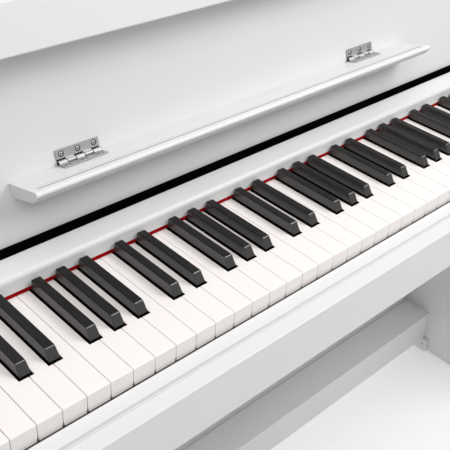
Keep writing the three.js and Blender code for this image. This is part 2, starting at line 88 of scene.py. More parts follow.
def solid(points, sweep):
    """A closed prism: a flat outline of points swept along a vector, both in metres."""
    bm = bmesh.new()
    face = bm.faces.new([bm.verts.new(p) for p in points])
    swept = bmesh.ops.extrude_face_region(bm, geom=[face], use_keep_orig=True)
    moved = [v for v in swept["geom"] if isinstance(v, bmesh.types.BMVert)]
    bmesh.ops.translate(bm, verts=moved, vec=sweep)
    bmesh.ops.recalc_face_normals(bm, faces=bm.faces)
    return bm


def across(place, outline, x0, x1):
    """An outline of [y, z] in millimetres drawn out along X."""
    points = [at(place, x0, y, z) for y, z in outline]
    return solid(points, Vector(((x1 - x0) * MM, 0, 0)))


def block(place, x0, x1, y0, y1, z0, z1):
    return across(place, [(y0, z0), (y1, z0), (y1, z1), (y0, z1)], x0, x1)


def cad_shape(node):
    """A welded copy of a CAD node's mesh, its flat faces whole again."""
    bm = bmesh.new()
    bm.from_mesh(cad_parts[node].data)
    bmesh.ops.remove_doubles(bm, verts=bm.verts, dist=2e-6)
    bmesh.ops.dissolve_limit(bm, angle_limit=math.radians(1), verts=bm.verts, edges=bm.edges)
    bmesh.ops.recalc_face_normals(bm, faces=bm.faces)
    return bm


def sharp_edges(bm, angle=28):
    limit = math.radians(angle)
    return [e for e in bm.edges if e.is_manifold and e.calc_face_angle(0) > limit]


def rounded(bm, width, segments=3, edges=None):
    """Rounds edges by a width in millimetres: all the sharp ones, unless some are given."""
    chosen = sharp_edges(bm) if edges is None else edges
    bmesh.ops.bevel(bm, geom=chosen, offset=width * MM, offset_type="OFFSET", segments=segments,
                    profile=0.5, affect="EDGES", clamp_overlap=True)
    return bm


def edges_near(bm, place, test):
    """The edges whose middle, in millimetres in a frame, passes a test of x, y, z."""
    back = place.inverted()
    chosen = []
    for edge in bm.edges:
        middle = back @ ((edge.verts[0].co + edge.verts[1].co) / 2)
        if test(middle.x / MM, middle.y / MM, middle.z / MM):
            chosen.append(edge)
    return chosen


def merge(*parts):
    """Several closed bodies as one mesh."""
    whole = parts[0]
    for part in parts[1:]:
        spare = bpy.data.meshes.new("spare")
        part.to_mesh(spare)
        part.free()
        whole.from_mesh(spare)
        bpy.data.meshes.remove(spare)
    return whole


def cut(bm, *tools):
    """The shape with closed tool shapes taken out of it."""
    scene = bpy.context.scene.collection
    objects = []
    for shape in (bm, *tools):
        mesh = bpy.data.meshes.new("cutting")
        shape.to_mesh(mesh)
        shape.free()
        objects.append(bpy.data.objects.new("cutting", mesh))
        scene.objects.link(objects[-1])
    body = objects[0]
    for tool in objects[1:]:
        modifier = body.modifiers.new("cut", "BOOLEAN")
        modifier.operation = "DIFFERENCE"
        modifier.solver = "EXACT"
        modifier.object = tool
    graph = bpy.context.evaluated_depsgraph_get()
    result = bmesh.new()
    result.from_object(body, graph)
    for obj in objects:
        mesh = obj.data
        bpy.data.objects.remove(obj)
        bpy.data.meshes.remove(mesh)
    return result


def piece(name, bm, material, body, replaces=(), smooth=40):
    """Makes the mesh an object, with a rounded look across its bevels, riding on a body."""
    mesh = bpy.data.meshes.new(name)
    bm.to_mesh(mesh)
    bm.free()
    mesh.shade_smooth()
    mesh.set_sharp_from_angle(angle=math.radians(smooth))
    obj = bpy.data.objects.new(name, mesh)
    bpy.context.scene.collection.objects.link(obj)
    mesh.materials.append(material)
    weighted = obj.modifiers.new("even shading", "WEIGHTED_NORMAL")
    weighted.keep_sharp = True
    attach(obj, body)
    if replaces:
        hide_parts(*replaces)
    return obj


def repaint(obj, material, test):
    """Gives another material to the faces whose centre and normal pass a test."""
    obj.data.materials.append(material)
    index = len(obj.data.materials) - 1
    for face in obj.data.polygons:
        if test(face.center, face.normal):
            face.material_index = index


# ---- arcs, turned shapes and screws ----
def cove(y, z, radius, start, end, steps=6):
    """Points of an arc in [y, z], from one angle to another in degrees."""
    angles = [math.radians(start + (end - start) * i / steps) for i in range(steps + 1)]
    return [(y + radius * math.cos(a), z + radius * math.sin(a)) for a in angles]


def turned(profile, sides=32):
    """A closed body of revolution about Z from points of radius and height, in millimetres.

    A radius may be a function of the angle, for a rim or a recess that isn't round.
    """
    bm = bmesh.new()
    angles = [2 * math.pi * i / sides for i in range(sides)]
    rings = []
    for radius, height in profile:
        reach = radius if callable(radius) else (lambda angle, r=radius: r)
        rings.append([bm.verts.new((reach(a) * MM * math.cos(a), reach(a) * MM * math.sin(a),
                                    height * MM)) for a in angles])
    bm.faces.new(rings[0][::-1])
    for lower, upper in zip(rings, rings[1:]):
        for i in range(sides):
            j = (i + 1) % sides
            bm.faces.new([lower[i], lower[j], upper[j], upper[i]])
    bm.faces.new(rings[-1])
    bmesh.ops.recalc_face_normals(bm, faces=bm.faces)
    return bm


FACING = {  # turns that point a shape's Z along another axis
    "Z": Matrix.Identity(4),
    "Y": Matrix.Rotation(-math.pi / 2, 4, "X"),
    "-Y": Matrix.Rotation(math.pi / 2, 4, "X"),
    "X": Matrix.Rotation(math.pi / 2, 4, "Y"),
    "-X": Matrix.Rotation(-math.pi / 2, 4, "Y"),
}


def put(bm, place, x, y, z, facing="Z", spin=0.0):
    """Moves a shape made at the origin to a point in millimetres, facing along an axis."""
    turn = FACING[facing] @ Matrix.Rotation(spin, 4, "Z")
    move = place @ Matrix.Translation((x * MM, y * MM, z * MM)) @ turn
    bmesh.ops.transform(bm, matrix=move, verts=bm.verts)
    return bm


def cross_radius(arm, half_width):
    """The outline of a cross-shaped recess, as a function of the angle."""
    def reach(angle):
        best = 0.0
        for turn in (0, math.pi / 2):
            run, side = abs(math.cos(angle + turn)), abs(math.sin(angle + turn))
            best = max(best, min(arm / max(run, 1e-6), half_width / max(side, 1e-6)))
        return best
    return reach


def screw(place, x, y, z, facing, radius=2.3, rise=0.5):
    """A raised countersunk head with a cross recess, turned at random about its axis."""
    recess = cross_radius(radius * 0.5, radius * 0.14)
    profile = [
        (radius, 0),
        (radius, rise * 0.25),
        (radius * 0.9, rise * 0.6),
        (radius * 0.62, rise),
        (recess, rise),
        (recess, rise - radius * 0.35),
    ]
    return put(turned(profile, 48), place, x, y, z, facing, RNG.uniform(0, math.pi))


# ---- materials ----
NOISE_LOW, NOISE_HIGH = 0.3, 0.7  # nearly all of a noise texture's values lie between these
MIX_FIRST, MIX_SECOND, MIX_RESULT = 6, 7, 2  # the colour sockets of a Mix node


class Paint:
    """A Principled material with procedural detail in object space, in features per metre.

    Further sockets of the shader are given by name, with underscores for spaces.
    """

    def __init__(self, name, colour, roughness, metallic=0.0, **sockets):
        self.material = bpy.data.materials.new(name)
        self.material.use_nodes = True
        self.nodes = self.material.node_tree.nodes
        self.links = self.material.node_tree.links
        self.shader = self.nodes["Principled BSDF"]
        self.colour = (*colour, 1)
        self.roughness = roughness
        self.set("Base Color", self.colour)
        self.set("Roughness", roughness)
        self.set("Metallic", metallic)
        for key, value in sockets.items():
            self.set(key.replace("_", " "), value)
        self.space = self.nodes.new("ShaderNodeTexCoord").outputs["Object"]

    def set(self, socket, value):
        self.shader.inputs[socket].default_value = value

    def noise(self, scale, detail, stretch=(1, 1, 1)):
        mapping = self.nodes.new("ShaderNodeMapping")
        mapping.inputs["Scale"].default_value = stretch
        self.links.new(self.space, mapping.inputs["Vector"])
        texture = self.nodes.new("ShaderNodeTexNoise")
        texture.inputs["Scale"].default_value = scale
        texture.inputs["Detail"].default_value = detail
        self.links.new(mapping.outputs["Vector"], texture.inputs["Vector"])
        return texture.outputs["Fac"]

    def spread(self, fac, low, high):
        """Maps the range that a noise covers onto the range between two values."""
        scale = self.nodes.new("ShaderNodeMapRange")
        scale.inputs["To Min"].default_value = low
        scale.inputs["To Max"].default_value = high
        scale.inputs["From Min"].default_value = NOISE_LOW
        scale.inputs["From Max"].default_value = NOISE_HIGH
        self.links.new(fac, scale.inputs["Value"])
        return scale.outputs["Result"]

    def vary_roughness(self, fac, amount):
        result = self.spread(fac, self.roughness - amount, self.roughness + amount)
        self.links.new(result, self.shader.inputs["Roughness"])
        return self

    def vary_colour(self, fac, other):
        mix = self.nodes.new("ShaderNodeMix")
        mix.data_type = "RGBA"
        self.links.new(self.spread(fac, 0, 1), mix.inputs["Factor"])
        mix.inputs[MIX_FIRST].default_value = self.colour
        mix.inputs[MIX_SECOND].default_value = (*other, 1)
        self.links.new(mix.outputs[MIX_RESULT], self.shader.inputs["Base Color"])
        return self

    def bump(self, fac, depth_mm):
        node = self.nodes.new("ShaderNodeBump")
        node.inputs["Distance"].default_value = depth_mm * MM
        self.links.new(fac, node.inputs["Height"])
        self.links.new(node.outputs["Normal"], self.shader.inputs["Normal"])
        return self


def white_paint():
    paint = Paint("satin_white_paint", (0.76, 0.757, 0.757), 0.38)
    paint.vary_roughness(paint.noise(18, 4), 0.05)
    paint.vary_colour(paint.noise(3, 3), (0.748, 0.745, 0.745))
    return paint.bump(paint.noise(900, 2), 0.012).material


def white_key_plastic():
    paint = Paint("white_key_plastic", (0.90, 0.85, 0.83), 0.24)
    paint.vary_roughness(paint.noise(60, 3), 0.015)
    paint.vary_colour(paint.noise(9, 2), (0.905, 0.857, 0.837))
    return paint.bump(paint.noise(1200, 2), 0.004).material


def black_key_plastic(name, colour, lighter, roughness, shine):
    """Charcoal plastic with its grain drawn out along the key."""
    paint = Paint(name, colour, roughness, Specular_IOR_Level=shine)
    paint.vary_roughness(paint.noise(240, 3, (1, 0.12, 1)), 0.015)
    paint.vary_colour(paint.noise(420, 2, (1, 0.1, 1)), lighter)
    return paint.bump(paint.noise(900, 3, (1, 0.08, 1)), 0.012).material


def red_felt():
    paint = Paint("red_felt", (0.36, 0.0008, 0.004), 0.95, Sheen_Weight=0.06, Sheen_Roughness=0.5,
                  Specular_IOR_Level=0.05)
    paint.set("Sheen Tint", (1.0, 0.05, 0.05, 1))
    paint.vary_colour(paint.noise(700, 4), (0.24, 0.0005, 0.002))
    return paint.bump(paint.noise(1500, 3), 0.25).material


def steel(name, colour, roughness, stretch=(1, 1, 1), bump=0.004):
    paint = Paint(name, colour, roughness, metallic=1.0)
    paint.vary_roughness(paint.noise(300, 3, stretch), 0.07)
    return paint.bump(paint.noise(500, 3, stretch), bump).material


def zinc_steel():
    paint = Paint("zinc_steel", (0.60, 0.61, 0.62), 0.38, metallic=1.0)
    flakes = paint.nodes.new("ShaderNodeTexVoronoi")
    flakes.inputs["Scale"].default_value = 160
    paint.links.new(paint.space, flakes.inputs["Vector"])
    paint.vary_colour(flakes.outputs["Distance"], (0.50, 0.51, 0.53))
    return paint.vary_roughness(paint.noise(90, 3), 0.08).material


def moulded_plastic(name, colour, roughness, shine=0.5):
    paint = Paint(name, colour, roughness, Specular_IOR_Level=shine)
    paint.vary_roughness(paint.noise(200, 2), 0.06)
    return paint.bump(paint.noise(2200, 2), 0.02).material


def circuit_board():
    paint = Paint("circuit_board", (0.015, 0.12, 0.035), 0.35)
    paint.vary_colour(paint.noise(120, 1, (1, 0.2, 1)), (0.02, 0.19, 0.06))
    return paint.bump(paint.noise(200, 1), 0.02).material


WHITE = white_paint()
IVORY = white_key_plastic()
# the sides, nose front and ends of a black key are a lighter copy of the top's charcoal: a painted
# reflection of the white keys beside them
EBONY = black_key_plastic(
    "black_key_side_painted_reflection", (0.037, 0.036, 0.034), (0.040, 0.039, 0.037), 0.30, 0.75)
EBONY_TOP = black_key_plastic(
    "black_key_top", (0.011, 0.010, 0.010), (0.018, 0.017, 0.017), 0.40, 0.18)
# a lighter grey on the crest of the nose: a painted highlight
EBONY_PAINTED_HIGHLIGHT = black_key_plastic(
    "black_key_painted_highlight", (0.13, 0.13, 0.127), (0.20, 0.20, 0.195), 0.35, 0.6)
# near-black with hardly any shine: painted shade at a black key's foot, and painted dark lines
# along its top's side edges
EBONY_PAINTED_SHADE = black_key_plastic(
    "black_key_painted_shade", (0.0003, 0.0003, 0.0003), (0.0006, 0.0006, 0.0006), 0.6, 0.02)
FELT = red_felt()
NICKEL = steel("nickel_steel", (0.50, 0.50, 0.51), 0.50, (0.15, 1, 1))
SCREW = steel("screw_steel", (0.50, 0.50, 0.51), 0.36)
# dark steel for the hinge pins; the same near-black also paints shade in the strips behind the
# hinge barrels, the rings in the countersinks and the screws deep in the foot block holes
DARK_STEEL_AND_SHADE = moulded_plastic("dark_steel_and_shade", (0.006, 0.006, 0.006), 0.6, 0.2)
# near-total black with almost no shine: real black steel on the lid hinge, darkened into painted
# shade of the slit it sits in, and the strip that paints that slit's shade
BLACK_STEEL_AND_SHADE = moulded_plastic("black_steel", (0.0003, 0.0003, 0.0003), 0.8, 0.02)
ZINC = zinc_steel()
CHROME = steel("pedal_chrome", (0.80, 0.80, 0.81), 0.09, bump=0.001)
BLACK = moulded_plastic("black_plastic", (0.016, 0.016, 0.017), 0.45)
GREY = moulded_plastic("grey_plastic", (0.42, 0.42, 0.43), 0.5)
GREEN = circuit_board()


# ---- painted boards ----
BOARD_EDGES = {  # the body that each board rides on, and how far its edges are rounded
    "left_side_panel": ("cabinet", 1.6),
    "right_side_panel": ("cabinet", 1.6),
    "back_board": ("cabinet", 0.6),
    "key_bed": ("cabinet", 0.8),
    "top_board": ("cabinet", 1.8),
    "rear_panel": ("cabinet", 1.0),
    "hinge_rail": ("cabinet", 0.8),
    "left_cheek_block": ("cabinet", 1.2),
    "right_cheek_block": ("cabinet", 1.2),
    "lid_board": ("lid", 1.6),
    "lid_lip": ("lid", 1.6),
}


def add_boards():
    for node, (body, radius) in BOARD_EDGES.items():
        piece(f"{node}_painted", rounded(cad_shape(node), radius), WHITE, body,
              [node])


def add_front_rails():
    """The apron, and the key slip with its front shelf, coved step and rounded top edges."""
    piece("apron_painted", rounded(cad_shape("apron"), 1.5, 4), WHITE, "cabinet",
          ["apron"])
    _, half, _, apron_back, _, apron_top = key_level_spans("apron")
    _, _, step, back, floor, top = key_level_spans("key_slip")
    shelf = apron_top + 0.15
    behind = apron_back + 0.3
    inner, back_edge, step_edge = 1.0, 1.2, 0.7  # radii of the cove and of the two top edges
    outline = [
        (step - inner, shelf - 0.1),
        (behind, shelf - 0.1),
        (behind, floor),
        (back, floor),
        *cove(back - back_edge, top - back_edge, back_edge, 0, 90),
        *cove(step + step_edge, top - step_edge, step_edge, 90, 180, 4),
        *cove(step - inner, shelf + inner, inner, 0, -90),
    ]
    piece("key_slip_painted", across(KEY_LEVEL, outline, -half, half), WHITE, "cabinet",
          ["key_slip"], smooth=50)


def add_fascia():
    """The board behind the keys, with its top rounded over, and the felt strip under it."""
    _, half, front, back, bottom, top = key_level_spans("fascia_board")
    edge, brow = 0.8, 6  # radii of the small edges and of the rounded top
    outline = [
        *cove(front + edge, bottom + edge, edge, 180, 270, 4),
        (back, bottom),
        *cove(back - edge, top - 0.9, edge, 0, 97, 4),
        *cove(front + brow, top - 8.6, brow, 97, 180, 12),
    ]
    piece("fascia_painted", across(KEY_LEVEL, outline, -half, half), WHITE, "cabinet",
          ["fascia_board"], smooth=50)
    strip = block(KEY_LEVEL, *key_level_spans("felt_strip"))
    piece("felt_strip_woven", rounded(strip, 0.5, 2), FELT, "cabinet", ["felt_strip"])


# ---- keys, in millimetres from the white key fronts and tops ----
LETTERS = "ABCDEFG"
KEY_GAP = 0.52
KEY_LENGTH = (KEY_HIGH.y - KEY_LOW.y) / MM
KEY_THICK = 13.0
NOTCH_Y = 49.4  # where a white key narrows beside a black one
NOTCH_HALF = 7.2  # half the room left for a black key
SKIRT_DEPTH = 8.0  # the front of a white key reaches down this far back
SKIRT_DROP = (KEY_HIGH.z - KEY_LOW.z) / MM
SKIRT_LIFT = 0.6  # what the front stops short of the key's full height
SKIRT_TAPER = 0.75
BLACK_OFFSET = {"C": -2.1, "D": 2.8, "F": -2.9, "G": 0.0, "A": 2.9}  # from the gap beside it
BLACK_REAR = 146.4  # where the raised part of a black key ends, behind the fascia
BLACK_TOP_HALF = 4.8
BLACK_INSET = 0.7  # the raised part stands in this far from the flange's sides
BLACK_SETBACK = 0.8  # and this far from its front
BLACK_FOOT = -0.5
SIDE_SHADE_HEIGHT = 2.3  # the painted shade at the foot of a black key reaches this high on its sides
NOSE_SHADE_HEIGHT = 1.0  # and this high on its nose
OCTAVE = range(16, 23)  # the white keys that move


def letter(white):
    return LETTERS[white % len(LETTERS)]


def left_edge(white):
    return KEYS_LEFT + white * PITCH


def black_after(white):
    """X of the black key to the right of a white key, or None."""
    if 0 <= white < WHITE_COUNT - 1 and letter(white) in BLACK_OFFSET:
        return left_edge(white + 1) + BLACK_OFFSET[letter(white)]
    return None


def white_key_shape(white):
    """A key notched for its black neighbours, with a front skirt that tapers downwards."""
    x0 = left_edge(white) + KEY_GAP / 2
    x1 = left_edge(white + 1) - KEY_GAP / 2
    before, after = black_after(white - 1), black_after(white)
    outline = [(x0, 0), (x1, 0)]
    if after is None:
        outline += [(x1, KEY_LENGTH)]
    else:
        outline += [(x1, NOTCH_Y), (after - NOTCH_HALF, NOTCH_Y), (after - NOTCH_HALF, KEY_LENGTH)]
    if before is None:
        outline += [(x0, KEY_LENGTH)]
    else:
        outline += [(before + NOTCH_HALF, KEY_LENGTH), (before + NOTCH_HALF, NOTCH_Y),
                    (x0, NOTCH_Y)]
    points = [at(KEY_LEVEL, x, y, 0) for x, y in outline]
    bm = solid(points, Vector((0, 0, -KEY_THICK * MM)))
    floor = min(bm.faces, key=lambda f: f.calc_center_median().z)
    skirt_back = at(KEY_LEVEL, 0, SKIRT_DEPTH, 0)
    bmesh.ops.bisect_plane(bm, geom=[floor, *floor.edges, *floor.verts], dist=1e-7,
                           plane_co=skirt_back, plane_no=(0, 1, 0))
    under = [f for f in bm.faces
             if f.normal.z < -0.5 and f.calc_center_median().y < skirt_back.y]
    swept = bmesh.ops.extrude_face_region(bm, geom=under)
    moved = [v for v in swept["geom"] if isinstance(v, bmesh.types.BMVert)]
    bmesh.ops.delete(bm, geom=under, context="FACES")
    bmesh.ops.translate(bm, verts=moved,
                        vec=(0, 0, (KEY_THICK - SKIRT_DROP + SKIRT_LIFT) * MM))
    middle = (left_edge(white) + PITCH / 2) * MM
    for vert in moved:
        vert.co.x -= math.copysign(SKIRT_TAPER * MM, vert.co.x - middle)
    bmesh.ops.recalc_face_normals(bm, faces=bm.faces)
    nose = edges_near(bm, KEY_LEVEL, lambda x, y, z: abs(y) < 0.01 and abs(z) < 0.01)
    rounded(bm, 1.5, 4, nose)
    return rounded(bm, 0.45, 2)


def nose_profile(front, height):
    """The side view of a black key's nose: a straight slope that turns over into the flat top."""
    turn, reach = 2.2, 8.2
    return [(front, BLACK_FOOT), *cove(front + reach, height - turn, turn, 151, 90, 7)]


def black_key_shape(x):
    """A tapered top with a sloping nose, on a flange that runs back to the pivot."""
    x0, x1, front, _, drop, height = key_level_spans("key_c_sharp")
    half = (x1 - x0) / 2
    foot_half = half - BLACK_INSET
    outline = [*nose_profile(front + BLACK_SETBACK, height), (BLACK_REAR, height),
               (BLACK_REAR, BLACK_FOOT)]
    cap = across(KEY_LEVEL, outline, x - foot_half, x + foot_half)
    for vert in cap.verts:
        level = (KEY_LEVEL.inverted() @ vert.co).z / MM
        rise = (level - BLACK_FOOT) / (height - BLACK_FOOT)
        squeeze = 1 - rise * (1 - BLACK_TOP_HALF / foot_half)
        vert.co.x = (x + (vert.co.x / MM - x) * squeeze) * MM
    bmesh.ops.recalc_face_normals(cap, faces=cap.faces)
    floor = at(KEY_LEVEL, 0, 0, BLACK_FOOT + 0.1).z
    rounded(cap, 0.75, 3, [e for e in sharp_edges(cap, 30)
                           if max(v.co.z for v in e.verts) > floor])
    # the key is cut at the heights where its painted shade at the foot stops
    for level in (SIDE_SHADE_HEIGHT, NOSE_SHADE_HEIGHT):
        bmesh.ops.bisect_plane(cap, geom=[*cap.verts, *cap.edges, *cap.faces], dist=1e-7,
                               plane_co=at(KEY_LEVEL, 0, 0, level), plane_no=(0, 0, 1))
    flange = block(KEY_LEVEL, x - half, x + half, front, KEY_LENGTH, drop, 0.1)
    return merge(cap, flange)


def add_keys():
    """Every key as its own piece: one octave on its own bodies, the rest on the cabinet."""
    collar, nose_shade_height = (at(KEY_LEVEL, 0, 0, z).z for z in (SIDE_SHADE_HEIGHT, NOSE_SHADE_HEIGHT))
    for white in range(WHITE_COUNT):
        moving = white in OCTAVE
        group = "low" if white < OCTAVE.start else "high"
        name = f"key_{letter(white).lower()}"
        piece(f"white_key_{white + 1:02d}", white_key_shape(white), IVORY,
              name if moving else "cabinet",
              [name if moving else f"white_keys_{group}"])
        x = black_after(white)
        if x is None:
            continue
        name += "_sharp"
        key = piece(f"black_key_{white + 1:02d}", black_key_shape(x), EBONY,
                    name if moving else "cabinet",
                    [name if moving else f"black_keys_{group}"])
        # the flat top, a painted highlight on the nose's crest, then painted shade at the foot and
        # painted dark lines along the top's side edges
        repaint(key, EBONY_TOP, lambda centre, normal: normal.z > 0.8 and centre.z > collar)
        repaint(key, EBONY_PAINTED_HIGHLIGHT, lambda centre, normal: centre.z > collar and normal.y < -0.3
                and 0.62 < normal.z < 0.9 and abs(normal.x) < 0.3)
        repaint(key, EBONY_PAINTED_SHADE, lambda centre, normal: centre.z < nose_shade_height
                or (centre.z < collar and normal.y > -0.8)
                or (0.5 < normal.z < 0.9 and abs(normal.x) > 0.35))


# ---- music ledge and its hinges, in the lid's frame ----
LID_GAP = -0.3  # Y just in front of the lid board's face
LEDGE_TOP = 60.0
GROOVE_FRONT, GROOVE_BACK = -41.5, -35.0
HINGE_CENTRES = {"left": -221, "right": 212}
HINGE_HALF = 25.0
KNUCKLES = 5
KNUCKLE = 2.3
PIN_Y, PIN_Z = -2.8, 62.8
SHEET = 1.2
LEAF = 10.5
SCREW_STEP = 19.0
SCREW_DEPTH = 0.35
SINK = 3.6  # radius of a countersink


def add_ledge():
    """A shallow rail with a rounded front lip, and two black strips in the slots of its page-stop
    groove, painted shade for the groove's dark lines.
    """
    shape = cad_shape("music_ledge")
    inside = LID_FRAME.inverted()
    front = min((inside @ v.co).y for v in shape.verts) / MM
    half = max(v.co.x for v in shape.verts) / MM
    shape.free()
    outline = [
        (LID_GAP, LEDGE_TOP),
        (LID_GAP, LEDGE_TOP - 10.6),
        *cove(LID_GAP - 2, LEDGE_TOP - 10.6, 2, 0, -35, 3),
        *cove(-5.4, LEDGE_TOP - 12.3, 2, -55, -86, 3),
        (front + 10.5, LEDGE_TOP - 11.8),
        *cove(front + 10.2, LEDGE_TOP - 11.2, 0.6, -100, -140, 2),
        *cove(front + 3, LEDGE_TOP - 3.2, 3, -140, -270, 10),
    ]
    tray = across(LID_FRAME, outline, -half, half)
    ends = [e for e in sharp_edges(tray, 30)
            if all(abs(abs(v.co.x) - half * MM) < 1e-6 for v in e.verts)]
    rounded(tray, 0.6, 2, ends)
    span = (7 - half, half - 7)
    recess = block(LID_FRAME, *span, GROOVE_FRONT, GROOVE_BACK, LEDGE_TOP - 0.25, LEDGE_TOP + 1)
    slots, shade_strips = [], []
    # each slot holds a black strip: painted shade that draws the groove's dark line
    for y, width in ((GROOVE_FRONT, 1.9), (GROOVE_BACK - 0.5, 0.5)):
        slots.append(block(LID_FRAME, *span, y, y + width, LEDGE_TOP - 3, LEDGE_TOP + 0.9))
        shade_strip = block(LID_FRAME, *span, y + 0.05, y + width - 0.05, LEDGE_TOP - 2.9,
                     LEDGE_TOP - 0.3)
        shade_strips.append(rounded(shade_strip, 0.1, 2))
    piece("music_ledge_painted", cut(tray, recess, *slots), WHITE, "ledge",
          ["music_ledge"], smooth=35)
    piece("ledge_groove_shade_strips", merge(*shade_strips), BLACK, "ledge")


def pressed_plate(x, outline, facing, screw_y, screw_z):
    """A hinge leaf with soft edges and three countersinks."""
    plate = rounded(across(LID_FRAME, outline, x - HINGE_HALF, x + HINGE_HALF), 0.25, 2)
    bowl = [(SINK * 0.75, -0.7), (SINK, 0.4), (SINK, 1.5)]
    sinks = [put(turned(bowl, 32), LID_FRAME, x + i * SCREW_STEP, screw_y, screw_z, facing)
             for i in (-1, 0, 1)]
    return cut(plate, *sinks)


def knuckle(x0, x1, tongue):
    """One barrel of the hinge, with the tongue of sheet that curls round it."""
    barrel = turned([(KNUCKLE, 0), (KNUCKLE, x1 - x0)], 28)
    put(barrel, LID_FRAME, x0, PIN_Y, PIN_Z, "X")
    return [rounded(barrel, 0.25, 2), rounded(across(LID_FRAME, tongue, x0, x1), 0.2, 2)]


def add_ledge_hinges():
    """Two butt hinges: leaves and knuckles on both sides, pins and screws, with dark strips behind
    the barrels and dark rings in the countersinks as painted shade.
    """
    foot = LEDGE_TOP + 0.3
    face = LID_GAP - SHEET
    upper_mid = PIN_Z + KNUCKLE + LEAF / 2 + 0.5
    lower_mid = PIN_Y - KNUCKLE - LEAF / 2 - 0.5
    above, before = PIN_Z + KNUCKLE, PIN_Y - KNUCKLE
    upper_leaf = [(face, above + 1.0), (LID_GAP, above + 1.0), (LID_GAP, above + LEAF),
                  (face, above + LEAF)]
    lower_leaf = [(before - LEAF, foot), (before - 0.6, foot), (before - 0.6, foot + SHEET),
                  (before - LEAF, foot + SHEET)]
    upper_tongue = [(LID_GAP, PIN_Z), (LID_GAP, above + 1.2), (face, above + 1.2),
                    (face - 0.3, above - 0.5), (PIN_Y, PIN_Z)]
    lower_tongue = [(PIN_Y, foot), (PIN_Y, PIN_Z), (before + 0.05, PIN_Z + 0.5),
                    (before - 0.6, foot + SHEET + 0.8), (before - 2.4, foot + SHEET),
                    (before - 1.2, foot)]
    sink_shade_profile = [(SINK - 0.05, -0.3), (SINK - 0.05, 0.3), (2.2, 0.05)]
    pin_profile = [(0.9, -0.6), (1.5, -0.3), (1.5, 2 * HINGE_HALF + 0.3),
                   (0.9, 2 * HINGE_HALF + 0.6)]
    step = 2 * HINGE_HALF / KNUCKLES
    for label, x in HINGE_CENTRES.items():
        left = x - HINGE_HALF
        upper = [pressed_plate(x, upper_leaf, "-Y", face, upper_mid)]
        lower = [pressed_plate(x, lower_leaf, "Z", lower_mid, foot + SHEET)]
        for i in range(KNUCKLES):
            x0, x1 = left + i * step + 0.3, left + (i + 1) * step - 0.3
            if i % 2:
                upper += knuckle(x0, x1, upper_tongue)
            else:
                lower += knuckle(x0, x1, lower_tongue)
        piece(f"{label}_hinge_upper", merge(*upper), NICKEL, "lid",
              [f"{label}_ledge_hinge_upper_leaf"])
        piece(f"{label}_hinge_lower", merge(*lower), NICKEL, "ledge",
              [f"{label}_ledge_hinge_lower_leaf"])
        pin = put(turned(pin_profile, 20), LID_FRAME, left, PIN_Y, PIN_Z, "X")
        piece(f"{label}_hinge_pin", pin, DARK_STEEL_AND_SHADE, "lid")
        # a dark strip behind each hinge's barrels: painted shade in the gaps between the barrels
        # and the leaves
        shadow_strip = block(LID_FRAME, left + 0.3, x + HINGE_HALF - 0.3, LID_GAP, -0.02, PIN_Z - 1.5,
                     above + 1.4)
        piece(f"{label}_hinge_shadow_strip", rounded(shadow_strip, 0.08, 2), DARK_STEEL_AND_SHADE, "lid")
        places = [x + i * SCREW_STEP for i in (-1, 0, 1)]
        for part, body, y, z, facing in (
                ("upper", "lid", face + SCREW_DEPTH, upper_mid, "-Y"),
                ("lower", "ledge", lower_mid, foot + SHEET - SCREW_DEPTH, "Z")):
            heads = [screw(LID_FRAME, spot, y, z, facing) for spot in places]
            piece(f"{label}_{part}_screws", merge(*heads), NICKEL, body)
            # a dark ring in each countersink round the head: painted shade
            sink_shades = [put(turned(sink_shade_profile, 32), LID_FRAME, spot, y, z, facing)
                     for spot in places]
            piece(f"{label}_{part}_screw_sink_shades", merge(*sink_shades), DARK_STEEL_AND_SHADE, body)


def add_hinge_slit_shade():
    """A near-black strip in the slit under the lid's continuous hinge: painted shade that keeps
    the slit dark.
    """
    half = spans("hinge_rail")[1] - 0.5
    front, middle, back = 175.2, 177.6, 186
    bottom, shelf, rim, top = 17, 20.2, 24.5, 27
    outline = [(front, bottom), (middle, bottom), (middle, shelf), (back, shelf), (back, rim),
               (180, rim), (178.4, top), (front, top)]
    piece("hinge_slit_shade", across(KEY_LEVEL, outline, -half, half), BLACK_STEEL_AND_SHADE, "cabinet")


# ---- everything carried over from the CAD with a softer edge and its own material ----
PLAIN_PIECES = {  # material, body, slot, and how far the edges are rounded
    "left_glide_strip": (GREY, "cabinet", "glide_plastic", 0.5),
    "right_glide_strip": (GREY, "cabinet", "glide_plastic", 0.5),
    "pedal_bracket": (ZINC, "cabinet", "zinc_steel", 0.3),
    "pedal_axle": (ZINC, "cabinet", "zinc_steel", 0.4),
    "key_chassis": (ZINC, "cabinet", "zinc_steel", 0.3),
    "contact_board": (GREEN, "cabinet", "circuit_board", 0.15),
    "main_board": (GREEN, "cabinet", "circuit_board", 0.15),
    "left_adjuster_foot": (BLACK, "left_adjuster_foot", "black_plastic", 0.6),
    "right_adjuster_foot": (BLACK, "right_adjuster_foot", "black_plastic", 0.6),
    "socket_plate": (BLACK, "cabinet", "black_plastic", 0.5),
    "lid_hinge_fixed_leaf": (BLACK_STEEL_AND_SHADE, "cabinet", "black_steel", 0.15),
    "lid_hinge_pin": (BLACK_STEEL_AND_SHADE, "cabinet", "black_steel", 0.2),
    "lid_hinge_moving_leaf": (BLACK_STEEL_AND_SHADE, "lid", "black_steel", 0.15),
    "soft_pedal": (CHROME, "soft_pedal", "pedal_chrome", 1.2),
    "sostenuto_pedal": (CHROME, "sostenuto_pedal", "pedal_chrome", 1.2),
    "sustain_pedal": (CHROME, "sustain_pedal", "pedal_chrome", 1.2),
}


def add_plain_pieces():
    for node, (material, body, slot, radius) in PLAIN_PIECES.items():
        piece(f"{node}_finished", rounded(cad_shape(node), radius, 2), material, body,
              [node])


